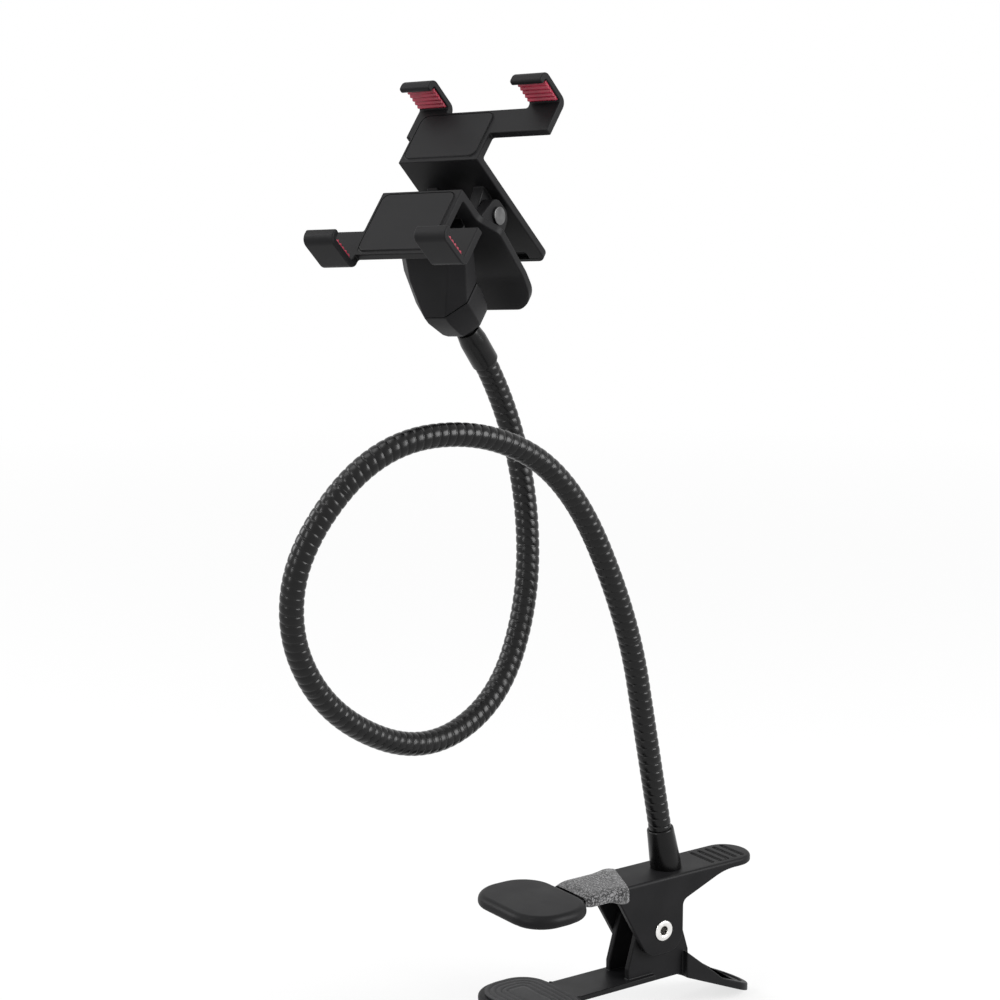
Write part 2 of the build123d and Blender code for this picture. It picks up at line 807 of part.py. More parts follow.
# Phone clip: lower jaw with its squeeze handle, hinge ears and ball socket
with BuildPart() as clip_lower_jaw:
    for piece in lower_claws:
        add(piece)
    with BuildSketch(depth_plane(plate_depth)):
        with Locations((lower_claw_shift, bar_rise + bar_height / 2)):
            Rectangle(2 * bar_half, bar_height)
        with Locations((0, bar_rise + plate_height / 2)):
            Rectangle(2 * plate_half, plate_height)
    extrude(amount=-plate_thick)
    add(lower_grip)
    with BuildSketch(depth_plane(plate_depth)):
        with Locations((0, bar_rise + plate_height / 2)):
            RectangleRounded(2 * (plate_half - rest_margin), plate_height - 2 * rest_margin, rest_corner)
    extrude(amount=rest_rise)
    with BuildSketch(depth_plane(housing_start)):
        Polygon(*octagon(housing_half, housing_low, housing_high, housing_cut), align=None)
    with BuildSketch(depth_plane((housing_start + swivel_depth) / 2)):
        Polygon(
            *octagon(
                (housing_half + nut_flats) / 2 + housing_bulge,
                (housing_low + swivel_up - nut_flats) / 2 - housing_bulge,
                (housing_high + swivel_up + nut_flats) / 2 + housing_bulge,
                (housing_cut + flat_cut) / 2,
            ),
            align=None,
        )
    with BuildSketch(depth_plane(swivel_depth)):
        Polygon(*octagon(nut_flats, swivel_up - nut_flats, swivel_up + nut_flats, flat_cut), align=None)
    loft(ruled=True)
    with BuildSketch(swivel_plane):
        Circle(thread_radius)
    extrude(amount=thread_length)
    for side in (-ear_outer, ear_outer - ear_thick):
        with BuildSketch(side_plane(side)):
            with BuildLine():
                FilletPolyline(
                    (hinge_depth - ear_foot, lower_handle_v + ear_sink),
                    (hinge_depth + ear_foot, lower_handle_v + ear_sink),
                    (hinge_depth + hinge_ear, hinge_v + hinge_ear),
                    (hinge_depth - hinge_ear, hinge_v + hinge_ear),
                    radius=(0, 0, ear_round, ear_round),
                    close=True,
                )
            make_face()
        extrude(amount=ear_thick)
    with BuildSketch(side_plane(0)):
        with Locations((hinge_depth, hinge_v)):
            Circle(hinge_radius + pin_gap)
    extrude(amount=2 * plate_half, both=True, mode=Mode.SUBTRACT)
    with Locations(swivel_centre):
        Sphere(ball_radius + ball_gap, mode=Mode.SUBTRACT)

# Phone clip: upper jaw, its claws set to one side of the lower ones
with BuildPart() as clip_upper_jaw:
    for piece in upper_claws:
        add(piece)
    with BuildSketch(depth_plane(plate_depth)):
        with Locations((claw_shift, clip_opening - bar_rise - bar_height / 2)):
            Rectangle(2 * bar_half, bar_height)
        with Locations((0, upper_handle_v + upper_height / 2)):
            Rectangle(2 * plate_half, upper_height)
    extrude(amount=-plate_thick)
    add(upper_grip)
    with BuildSketch(depth_plane(plate_depth)):
        with Locations((0, upper_handle_v + upper_height / 2)):
            RectangleRounded(2 * (plate_half - rest_margin), upper_height - 2 * rest_margin, rest_corner)
    extrude(amount=rest_rise)
    for side in (-ear_inner, ear_inner - ear_thick):
        with BuildSketch(side_plane(side)):
            with BuildLine():
                FilletPolyline(
                    (hinge_depth - ear_foot, upper_handle_v + ear_sink),
                    (hinge_depth + ear_foot, upper_handle_v + ear_sink),
                    (hinge_depth + hinge_ear, hinge_v - hinge_ear),
                    (hinge_depth - hinge_ear, hinge_v - hinge_ear),
                    radius=(0, 0, ear_round, ear_round),
                    close=True,
                )
            make_face()
        extrude(amount=ear_thick)
    with BuildSketch(side_plane(0)):
        with Locations((hinge_depth, hinge_v)):
            Circle(hinge_radius + running_gap)
    extrude(amount=2 * plate_half, both=True, mode=Mode.SUBTRACT)
    for side in (-pocket_inner - pocket_width, pocket_inner):
        with BuildSketch(side_plane(side)):
            with Locations((upper_handle_end - pocket_inset, upper_handle_v)):
                Rectangle(pocket_length, 2 * pocket_depth)
        extrude(amount=pocket_width, mode=Mode.SUBTRACT)

# Phone clip: hinge pin with a low head at each end
with BuildPart() as clip_pin:
    with BuildSketch(side_plane(-plate_half)):
        with Locations((hinge_depth, hinge_v)):
            Circle(hinge_radius)
    extrude(amount=2 * plate_half)
    for side, way in ((-plate_half, -pin_head_thick), (plate_half, pin_head_thick)):
        with BuildSketch(side_plane(side)):
            with Locations((hinge_depth, hinge_v)):
                Circle(pin_head)
        extrude(amount=way)

# Phone clip: torsion spring on the pin, one leg against each handle
hinge_point = clip_plane.from_local_coords(Vector(0, hinge_v, -hinge_depth))
clip_axis = Plane(origin=hinge_point, x_dir=-normal, z_dir=across)
with BuildPart() as clip_spring:
    add(coil(clip_axis, hinge_radius + coil_gap, clip_wire, clip_turns, clip_legs))

# Phone clip: four ribbed cushions
cushions = {}
for name, side, upper in (
    ("lower_claw_pad_a", claw_sides[0] + lower_claw_shift, False),
    ("lower_claw_pad_b", claw_sides[1] + lower_claw_shift, False),
    ("upper_claw_pad_a", claw_sides[0] + claw_shift, True),
    ("upper_claw_pad_b", claw_sides[1] + claw_shift, True),
):
    with BuildPart() as cushion:
        add(claw_cushion(side, upper))
    cushions[name] = cushion

# Names and files
pieces = {
    "upper_jaw": upper_jaw,
    "lower_jaw": lower_jaw,
    "upper_jaw_pad": upper_jaw_pad,
    "lower_jaw_pad": lower_jaw_pad,
    "pivot_eyelet": pivot_eyelet,
    "clamp_spring": clamp_spring,
    "woven_sleeve": woven_sleeve,
    "base_ferrule": base_ferrule,
    "base_screw": base_screw,
    "head_ferrule": head_ferrule,
    "swivel_ball": swivel_ball,
    "lock_nut": lock_nut,
    "clip_lower_jaw": clip_lower_jaw,
    "clip_upper_jaw": clip_upper_jaw,
    "clip_pin": clip_pin,
    "clip_spring": clip_spring,
    **cushions,
    **{f"neck_span_{number}": span for number, span in enumerate(neck_spans, 1)},
}
for name, piece in pieces.items():
    piece.part.label = name
    export_step(piece.part, f"parts/{name}.step")
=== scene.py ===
"""Gooseneck holder: the finished look of a spring clamp, a wound neck and a double-claw clip.

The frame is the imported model's own: Z up, X along the clamp arm towards its handles. Sizes are
written in millimetres and turned into metres where a mesh is made.
"""

import json
import logging
import math
import random
from collections.abc import Callable, Sequence
from dataclasses import dataclass
from enum import Enum
from functools import cache

import bmesh
import bpy
from mathutils import Matrix, Vector


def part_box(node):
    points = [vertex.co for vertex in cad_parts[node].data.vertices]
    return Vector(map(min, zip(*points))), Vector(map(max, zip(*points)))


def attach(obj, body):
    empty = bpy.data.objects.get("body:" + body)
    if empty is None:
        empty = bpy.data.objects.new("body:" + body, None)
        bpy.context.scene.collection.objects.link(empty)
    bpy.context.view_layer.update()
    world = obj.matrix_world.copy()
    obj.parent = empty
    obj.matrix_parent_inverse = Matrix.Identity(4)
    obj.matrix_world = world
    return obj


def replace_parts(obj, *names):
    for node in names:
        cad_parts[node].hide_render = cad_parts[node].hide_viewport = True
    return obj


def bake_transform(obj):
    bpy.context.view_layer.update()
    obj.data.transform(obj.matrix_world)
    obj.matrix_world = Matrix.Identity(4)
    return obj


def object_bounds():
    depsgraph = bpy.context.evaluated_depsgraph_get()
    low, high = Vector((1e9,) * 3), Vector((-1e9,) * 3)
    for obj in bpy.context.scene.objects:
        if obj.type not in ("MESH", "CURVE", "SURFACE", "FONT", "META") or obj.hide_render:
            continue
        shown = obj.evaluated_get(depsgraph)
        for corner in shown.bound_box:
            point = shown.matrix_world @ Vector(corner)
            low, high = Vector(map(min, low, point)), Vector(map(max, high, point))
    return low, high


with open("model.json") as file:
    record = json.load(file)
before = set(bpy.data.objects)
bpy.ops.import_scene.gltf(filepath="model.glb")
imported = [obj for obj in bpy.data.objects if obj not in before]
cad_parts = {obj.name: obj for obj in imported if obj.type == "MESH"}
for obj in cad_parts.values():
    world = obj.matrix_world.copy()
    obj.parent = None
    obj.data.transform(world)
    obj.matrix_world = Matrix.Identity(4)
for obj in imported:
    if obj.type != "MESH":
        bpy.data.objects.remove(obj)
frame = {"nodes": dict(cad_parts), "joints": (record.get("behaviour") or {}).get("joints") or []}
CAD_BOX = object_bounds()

log = logging.getLogger("holder")

MM = 0.001
FULL_TURN = 2 * math.pi
Pair = tuple[float, float]
Triple = tuple[float, float, float]
Socket = bpy.types.NodeSocket
Piece = bpy.types.Object
JOINTS = {joint["name"]: joint for joint in frame["joints"]}


class Body(str, Enum):
    """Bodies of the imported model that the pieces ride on."""

    CLAMP = "clamp"
    LOWER_JAW = "lower_clamp_jaw"
    NECK_TOP = "neck_8"
    BALL = "ball"
    CLIP_BASE = "clip_base"
    NUT = "nut"
    CLIP_TOP = "clip_top"


class Slot(str, Enum):
    """Material slots of the record."""

    MOULDED = "moulded_black"
    NECK = "neck_black"
    FERRULE = "ferrule_black"
    SILICONE = "red_silicone"
    PAD = "pad_rubber"
    WOVEN = "woven_grey"
    EYELET = "eyelet_nickel"
    SPRING = "spring_steel"
    SCREW = "screw_steel"


# Range that holds nearly all values of a noise
NOISE_BAND = (0.3, 0.7)
# Mesh layer with the shade of each strand
STRAND_LAYER = "strand_shade"


class ShaderGraph:
    """Node tree of one material, built round its Principled shader."""

    def __init__(self, name: str) -> None:
        """Makes the material with its default shader.

        Args:
            name: Name of the material.
        """
        self.material = bpy.data.materials.new(name)
        self.material.use_nodes = True
        self.tree = self.material.node_tree
        self.shader = self.tree.nodes["Principled BSDF"]

    def set(self, **values: float | Sequence[float]) -> None:
        """Sets constant values on the shader's own sockets, with underscores for spaces."""
        for name, value in values.items():
            self.shader.inputs[name.replace("_", " ")].default_value = value

    def node(self, kind: str, **values: float | Sequence[float]) -> bpy.types.Node:
        """Adds a node and sets its input values.

        Args:
            kind: Blender's type name of the node.
            values: Input values by socket name, with underscores for spaces.

        Returns:
            The new node.
        """
        made = self.tree.nodes.new(kind)
        for name, value in values.items():
            made.inputs[name.replace("_", " ")].default_value = value
        return made

    def link(self, source: Socket, target: Socket) -> None:
        """Wires one socket to another."""
        self.tree.links.new(source, target)

    def wire(self, **sockets: Socket) -> None:
        """Wires sockets to the shader's inputs, with underscores for spaces."""
        for name, socket in sockets.items():
            self.link(socket, self.shader.inputs[name.replace("_", " ")])

    def place(self) -> Socket:
        """Socket of the coordinates fixed to the piece, in metres."""
        return self.node("ShaderNodeTexCoord").outputs["Object"]

    def noise(self, size_mm: float, detail: float) -> Socket:
        """Noise whose patches are about a size across.

        Args:
            size_mm: Size of a patch in millimetres.
            detail: Octaves of finer noise.

        Returns:
            The noise's value socket.
        """
        made = self.node("ShaderNodeTexNoise", Scale=1.0 / (size_mm * MM), Detail=detail)
        self.link(self.place(), made.inputs["Vector"])
        return made.outputs["Fac"]

    def spread(self, value: Socket, low: float, high: float) -> Socket:
        """Maps noise, which keeps near its middle, on to a range of values.

        Args:
            value: Noise to map.
            low: Value of its dark patches.
            high: Value of its bright patches.

        Returns:
            The mapped value's socket.
        """
        start, stop = NOISE_BAND
        band = {"From_Min": start, "From_Max": stop, "To_Min": low, "To_Max": high}
        made = self.node("ShaderNodeMapRange", **band)
        self.link(value, made.inputs["Value"])
        return made.outputs["Result"]

    def shades(self, value: Socket, dark: Triple, light: Triple) -> Socket:
        """Mixes two colours by a noise.

        Args:
            value: Noise to mix by.
            dark: Colour of its dark patches.
            light: Colour of its bright patches.

        Returns:
            The colour socket.
        """
        ramp = self.node("ShaderNodeValToRGB")
        for stop, colour, position in zip(ramp.color_ramp.elements, (dark, light), NOISE_BAND):
            stop.color = (*colour, 1)
            stop.position = position
        self.link(value, ramp.inputs["Fac"])
        return ramp.outputs["Color"]

    def relief(self, height: Socket, depth_mm: float) -> Socket:
        """Turns a height into a bumped normal.

        Args:
            height: Height between zero and one.
            depth_mm: Depth of the bumps in millimetres.

        Returns:
            The normal socket.
        """
        bump = self.node("ShaderNodeBump", Strength=1.0, Distance=depth_mm * MM)
        self.link(height, bump.inputs["Height"])
        return bump.outputs["Normal"]


@dataclass(frozen=True)
class Finish:
    """Surface of a slot: clouds in its shade and its gloss, over a fine grain."""

    name: str
    dark: Triple
    light: Triple
    gloss: Pair
    grain_mm: float
    relief_mm: float
    grain_detail: float
    cloud_mm: float
    cloud_detail: float
    gloss_by_grain: bool = False
    shine: float = 0.5
    metallic: float = 0.0
    glow: float = 0.0
    glow_mm: float = 0.6
    glow_reach: Triple = (1.0, 0.3, 0.2)

    def material(self) -> bpy.types.Material:
        """Builds the node material.

        Returns:
            The material.
        """
        graph = ShaderGraph(self.name)
        graph.set(
            Specular_IOR_Level=self.shine,
            Metallic=self.metallic,
            Subsurface_Weight=self.glow,
            Subsurface_Scale=self.glow_mm * MM,
            Subsurface_Radius=self.glow_reach,
        )
        clouds = graph.noise(self.cloud_mm, self.cloud_detail)
        grain = graph.noise(self.grain_mm, self.grain_detail)
        graph.wire(
            Base_Color=graph.shades(clouds, self.dark, self.light),
            Roughness=graph.spread(grain if self.gloss_by_grain else clouds, *self.gloss),
            Normal=graph.relief(grain, self.relief_mm),
        )
        return graph.material


@dataclass(frozen=True)
class MouldedPlastic(Finish):
    """Moulded plastic with an eroded tool grain and a cloudy gloss."""

    grain_detail: float = 2.0
    cloud_mm: float = 14.0
    cloud_detail: float = 4.0


@dataclass(frozen=True)
class PaintedMetal(Finish):
    """Black lacquer over metal, with a soft orange peel and handling marks in the gloss."""

    grain_detail: float = 2.0
    cloud_mm: float = 6.0
    cloud_detail: float = 6.0


@dataclass(frozen=True)
class BareMetal(Finish):
    """Bare or plated metal with a fine grain and slightly uneven gloss."""

    grain_detail: float = 3.0
    cloud_mm: float = 3.0
    cloud_detail: float = 4.0
    metallic: float = 1.0


@dataclass(frozen=True)
class SoftRubber(Finish):
    """Silicone or rubber: a matt skin that may let a little light through."""

    grain_detail: float = 3.0
    cloud_mm: float = 5.0
    cloud_detail: float = 3.0
    gloss_by_grain: bool = True


@dataclass(frozen=True)
class WovenYarn:
    """Heather braid: each strand has its own shade, broken up by twisted fibres."""

    name: str
    dark: Triple
    light: Triple
    fibre_mm: float
    relief_mm: float
    fibre_detail: float = 4.0
    fibre_weight: float = 1.6
    roughness: float = 0.88
    sheen: float = 0.35
    sheen_roughness: float = 0.5

    def material(self) -> bpy.types.Material:
        """Builds the node material.

        Returns:
            The material.
        """
        graph = ShaderGraph(self.name)
        strand = graph.node("ShaderNodeAttribute")
        strand.attribute_name = STRAND_LAYER
        fibres = graph.noise(self.fibre_mm, self.fibre_detail)
        mixed = graph.node("ShaderNodeMath")
        mixed.operation = "MULTIPLY_ADD"
        mixed.inputs[1].default_value = self.fibre_weight
        graph.link(fibres, mixed.inputs[0])
        graph.link(strand.outputs["Fac"], mixed.inputs[2])
        graph.set(
            Roughness=self.roughness,
            Sheen_Weight=self.sheen,
            Sheen_Roughness=self.sheen_roughness,
        )
        graph.wire(
            Base_Color=graph.shades(mixed.outputs["Value"], self.dark, self.light),
            Normal=graph.relief(fibres, self.relief_mm),
        )
        return graph.material


FINISHES: dict[Slot, Finish | WovenYarn] = {
    Slot.MOULDED: MouldedPlastic(
        name="moulded_black_plastic",
        dark=(0.005, 0.005, 0.0055), light=(0.0085, 0.0083, 0.009), gloss=(0.42, 0.52),
        grain_mm=0.22, relief_mm=0.01, shine=0.12,
    ),
    Slot.NECK: PaintedMetal(
        name="black_lacquered_winding",
        dark=(0.0006, 0.0006, 0.0008), light=(0.0018, 0.0017, 0.0018), gloss=(0.24, 0.32),
        grain_mm=0.5, relief_mm=0.004, shine=0.26,
    ),
    Slot.FERRULE: PaintedMetal(
        name="satin_black_ferrule",
        dark=(0.001, 0.001, 0.0012), light=(0.003, 0.0029, 0.003), gloss=(0.24, 0.32),
        grain_mm=0.35, relief_mm=0.005, shine=0.2,
    ),
    Slot.SILICONE: SoftRubber(
        name="crimson_silicone",
        dark=(0.2, 0.006, 0.022), light=(0.3, 0.012, 0.038), gloss=(0.36, 0.5),
        grain_mm=0.3, relief_mm=0.012, glow=0.15,
    ),
    Slot.PAD: SoftRubber(
        name="black_grip_rubber",
        dark=(0.012, 0.012, 0.013), light=(0.02, 0.02, 0.021), gloss=(0.62, 0.78),
        grain_mm=0.25, relief_mm=0.03, glow=0.0,
    ),
    Slot.WOVEN: WovenYarn(
        name="heather_grey_yarn",
        dark=(0.004, 0.004, 0.0045), light=(0.21, 0.208, 0.212),
        fibre_mm=0.55, relief_mm=0.06,
    ),
    Slot.EYELET: BareMetal(
        name="bright_nickel",
        dark=(0.74, 0.73, 0.71), light=(0.86, 0.85, 0.83), gloss=(0.2, 0.3),
        grain_mm=0.3, relief_mm=0.002,
    ),
    Slot.SPRING: BareMetal(
        name="spring_steel",
        dark=(0.42, 0.41, 0.4), light=(0.6, 0.59, 0.57), gloss=(0.24, 0.4),
        grain_mm=0.12, relief_mm=0.004,
    ),
    Slot.SCREW: BareMetal(
        name="blackened_steel",
        dark=(0.07, 0.07, 0.072), light=(0.12, 0.12, 0.12), gloss=(0.3, 0.45),
        grain_mm=0.1, relief_mm=0.004,
    ),
}


@cache
def material_of(slot: Slot) -> bpy.types.Material:
    """Material of a slot, made once."""
    return FINISHES[slot].material()


def dress(piece: Piece, slot: Slot) -> Piece:
    """Gives a piece the material of its slot.

    Args:
        piece: Piece to dress.
        slot: Slot whose finish it takes.

    Returns:
        The same piece.
    """
    piece.data.materials.clear()
    piece.data.materials.append(material_of(slot))
    return piece


def joint_place(name: str) -> Vector:
    """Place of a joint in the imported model."""
    return Vector(JOINTS[name]["pos_m"])


def joint_axis(name: str) -> Vector:
    """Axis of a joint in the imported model."""
    return Vector(JOINTS[name]["axis"]).normalized()


def linked(name: str, data: bpy.types.ID) -> Piece:
    """Makes an object of some data.

    Args:
        name: Name of the object.
        data: What it holds.

    Returns:
        The new object, linked to the scene.
    """
    obj = bpy.data.objects.new(name, data)
    bpy.context.scene.collection.objects.link(obj)
    return obj


def smooth(mesh: bpy.types.Mesh) -> None:
    """Shades all faces of a mesh smooth."""
    mesh.polygons.foreach_set("use_smooth", [True] * len(mesh.polygons))


def new_piece(name: str, points: Sequence[Vector], faces: Sequence[Sequence[int]]) -> Piece:
    """Makes a smooth-shaded mesh piece.

    Args:
        name: Name of the piece.
        points: Corner points in metres.
        faces: Point numbers of each face.

    Returns:
        The new object, linked to the scene.
    """
    mesh = bpy.data.meshes.new(name)
    mesh.from_pydata([tuple(point) for point in points], [], [tuple(face) for face in faces])
    mesh.validate()
    work = bmesh.new()
    work.from_mesh(mesh)
    bmesh.ops.recalc_face_normals(work, faces=work.faces)
    work.to_mesh(mesh)
    work.free()
    smooth(mesh)
    return linked(name, mesh)


# Limits for joining facets and rounding edges
WELD_MM = 0.002
FLAT_DEG = 0.4
SHARP_DEG = 24.0
EDGE_SEGMENTS = 3


def rounded_copy(node: str, edge_mm: float) -> Piece:
    """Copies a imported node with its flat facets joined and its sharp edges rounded.

    Args:
        node: Name of the node, which the copy stands for.
        edge_mm: Width of the rounding.

    Returns:
        The new object.
    """
    mesh = frame["nodes"][node].data.copy()
    work = bmesh.new()
    work.from_mesh(mesh)
    bmesh.ops.scale(work, vec=Vector((1, 1, 1)) / MM, verts=work.verts)
    bmesh.ops.remove_doubles(work, verts=work.verts, dist=WELD_MM)
    bmesh.ops.dissolve_limit(
        work, angle_limit=math.radians(FLAT_DEG), verts=work.verts, edges=work.edges
    )
    bmesh.ops.recalc_face_normals(work, faces=work.faces)
    work.to_mesh(mesh)
    work.free()
    if mesh.attributes.get("custom_normal"):
        mesh.attributes.remove(mesh.attributes["custom_normal"])
    smooth(mesh)
    draft = linked(f"{node}_draft", mesh)
    bevel = draft.modifiers.new("rounded_edges", "BEVEL")
    bevel.width = edge_mm
    bevel.segments = EDGE_SEGMENTS
    bevel.limit_method = "ANGLE"
    bevel.angle_limit = math.radians(SHARP_DEG)
    bevel.use_clamp_overlap = False
    bevel.harden_normals = True
    bevel.miter_outer = "MITER_ARC"
    split = draft.modifiers.new("triangles", "TRIANGULATE")
    split.keep_custom_normals = True
    ready = draft.evaluated_get(bpy.context.evaluated_depsgraph_get())
    shell = bpy.data.meshes.new_from_object(ready)
    shell.name = f"{node}_shell"
    shell.transform(Matrix.Scale(MM, 4))
    bpy.data.objects.remove(draft)
    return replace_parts(linked(f"{node}_shell", shell), node)


@dataclass(frozen=True)
class Shell:
    """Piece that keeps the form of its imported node, with rounded edges and a finish."""

    node: str
    body: Body
    slot: Slot
    edge_mm: float

    def build(self) -> Piece:
        """Makes the piece on its body."""
        shell = dress(rounded_copy(self.node, self.edge_mm), self.slot)
        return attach(shell, self.body.value)


def ring_faces(
    rings: int, around: int, capped: bool = False, closed: bool = False
) -> list[list[int]]:
    """Joins rings of points with faces.

    Args:
        rings: Number of rings.
        around: Points of each ring.
        capped: True for an end face on the first and the last ring.
        closed: True to join the last ring to the first.

    Returns:
        Point numbers of each face.
    """
    faces = []
    for ring in range(rings if closed else rings - 1):
        here, there = ring * around, (ring + 1) % rings * around
        for k in range(around):
            after = (k + 1) % around
            faces.append([here + k, here + after, there + after, there + k])
    if capped:
        faces.append(list(range(around)))
        faces.append(list(range((rings - 1) * around, rings * around)))
    return faces


def tube(
    path: Sequence[Vector], radius: Callable[[float, float], float], around: int
) -> list[Vector]:
    """Sweeps a ring along a path with as little twist as the path allows.

    Args:
        path: Points of the centre line in metres.
        radius: Radius in metres at a length along the path and an angle round it.
        around: Points of each ring.

    Returns:
        Points ring by ring.
    """
    tangents = [
        (path[min(i + 1, len(path) - 1)] - path[max(i - 1, 0)]).normalized()
        for i in range(len(path))
    ]
    side = tangents[0].orthogonal().normalized()
    points, length = [], 0.0
    for i, (centre, tangent) in enumerate(zip(path, tangents)):
        if i:
            length += (centre - path[i - 1]).length
            side.rotate(tangents[i - 1].rotation_difference(tangent))
        other = tangent.cross(side)
        for k in range(around):
            angle = FULL_TURN * k / around
            out = side * math.cos(angle) + other * math.sin(angle)
            points.append(centre + out * radius(length, angle))
    return points


def even_path(path: Sequence[Vector], step: float) -> list[Vector]:
    """Spaces points evenly along a fine polyline.

    Args:
        path: Points of the polyline.
        step: Distance between the new points in metres.

    Returns:
        The new points, with both ends kept.
    """
    total = sum((b - a).length for a, b in zip(path, path[1:]))
    count = max(2, round(total / step))
    spaced, walked, index = [path[0].copy()], 0.0, 0
    for number in range(1, count):
        target = total * number / count
        run = (path[index + 1] - path[index]).length
        while walked + run < target:
            walked += run
            index += 1
            run = (path[index + 1] - path[index]).length
        spaced.append(path[index].lerp(path[index + 1], (target - walked) / run))
    return spaced + [path[-1].copy()]


SPLINE_ORDER = 3
SPLINE_STEPS = 40


def smooth_line(corners: Sequence[Vector]) -> list[Vector]:
    """Reads points along a smooth spline that has the route's corners as its control points.

    Args:
        corners: Control points in metres.

    Returns:
        Fine points along the spline.
    """
    curve = bpy.data.curves.new("neck_route", "CURVE")
    curve.dimensions = "3D"
    curve.resolution_u = SPLINE_STEPS
    spline = curve.splines.new("NURBS")
    spline.points.add(len(corners) - 1)
    for point, corner in zip(spline.points, corners):
        point.co = (*corner, 1.0)
    spline.order_u = SPLINE_ORDER
    spline.use_endpoint_u = True
    obj = linked("neck_route", curve)
    mesh = bpy.data.meshes.new_from_object(obj)
    line = [vertex.co.copy() for vertex in mesh.vertices]
    bpy.data.meshes.remove(mesh)
    bpy.data.objects.remove(obj)
    bpy.data.curves.remove(curve)
    return line


@dataclass
class Gooseneck:
    """Wound metal neck, with one loop between the clamp and the swivel."""

    radius_mm: float = 4.2
    winding_mm: float = 3.15
    groove_mm: float = 0.42
    crown_share: float = 0.32
    crown_power: int = 2
    groove_power: int = 8
    steps_per_winding: int = 14
    around: int = 28
    bends: int = 7
    bend_reach_mm: float = 20.0
    foot_mm: Triple = (61.0, 0.0, 4.05)
    lean_deg: float = 11.0
    start_mm: float = 3.7
    straight_mm: float = 50.0
    first_turn_mm: float = 98.6
    turns_mm: tuple[Triple, ...] = (
        (-44, 1, 151), (-79, 3, 172), (-120, 6, 171), (-150, 9, 140), (-153, 12, 107),
        (-134, 14, 76), (-95, 18, 56), (-60, 23, 67), (-41, 30, 100), (-35, 39, 138),
    )
    last_turn_mm: float = 46.9
    end_mm: float = 25.0

    def corners(self) -> list[Vector]:
        """Control points of the neck's line.

        Returns:
            The points from the clamp to the swivel, in metres.
        """
        lean = math.radians(self.lean_deg)
        up = Vector((-math.sin(lean), 0, math.cos(lean)))
        foot = Vector(self.foot_mm) * MM
        swivel, stem = joint_place("head_spin"), -joint_axis("head_spin")
        along = (self.start_mm, self.straight_mm, self.first_turn_mm)
        return (
            [foot + up * (reach * MM) for reach in along]
            + [foot + Vector(turn) * MM for turn in self.turns_mm]
            + [swivel + stem * (reach * MM) for reach in (self.last_turn_mm, self.end_mm)]
        )

    def winding(self, length: float, angle: float) -> float:
        """Radius of the wound profile: low crowns with a narrow groove between them.

        Args:
            length: Length along the neck in metres.
            angle: Angle round it in radians.

        Returns:
            The radius in metres.
        """
        turn = (length / (self.winding_mm * MM) + angle / FULL_TURN) % 1.0
        across = abs(2 * turn - 1)
        crown = self.crown_share * across**self.crown_power
        sunk = crown + (1 - self.crown_share) * across**self.groove_power
        return (self.radius_mm - self.groove_mm * sunk) * MM

    def build(self) -> list[Piece]:
        """Makes one length of neck across each bend, from the middle of a span to the next.

        Returns:
            The lengths in order from the clamp.
        """
        step = self.winding_mm * MM / self.steps_per_winding
        path = even_path(smooth_line(self.corners()), step)
        points = tube(path, self.winding, self.around)
        bends = [joint_place(f"neck_bend_{k + 1}") for k in range(self.bends)]
        at_bend = [min(range(len(path)), key=lambda i, b=b: (path[i] - b).length) for b in bends]
        cuts = [0] + [(a + b) // 2 for a, b in zip(at_bend, at_bend[1:])] + [len(path) - 1]
        made = []
        for number, (low, high) in enumerate(zip(cuts, cuts[1:]), 1):
            own = points[low * self.around : (high + 1) * self.around]
            faces = ring_faces(high - low + 1, self.around, capped=True)
            piece = new_piece(f"neck_winding_{number}", own, faces)
            dress(piece, Slot.NECK)
            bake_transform(piece)
            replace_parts(piece, f"neck_span_{number}")
            made.append(piece)
        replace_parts(made[-1], f"neck_span_{self.bends + 1}")
        return made


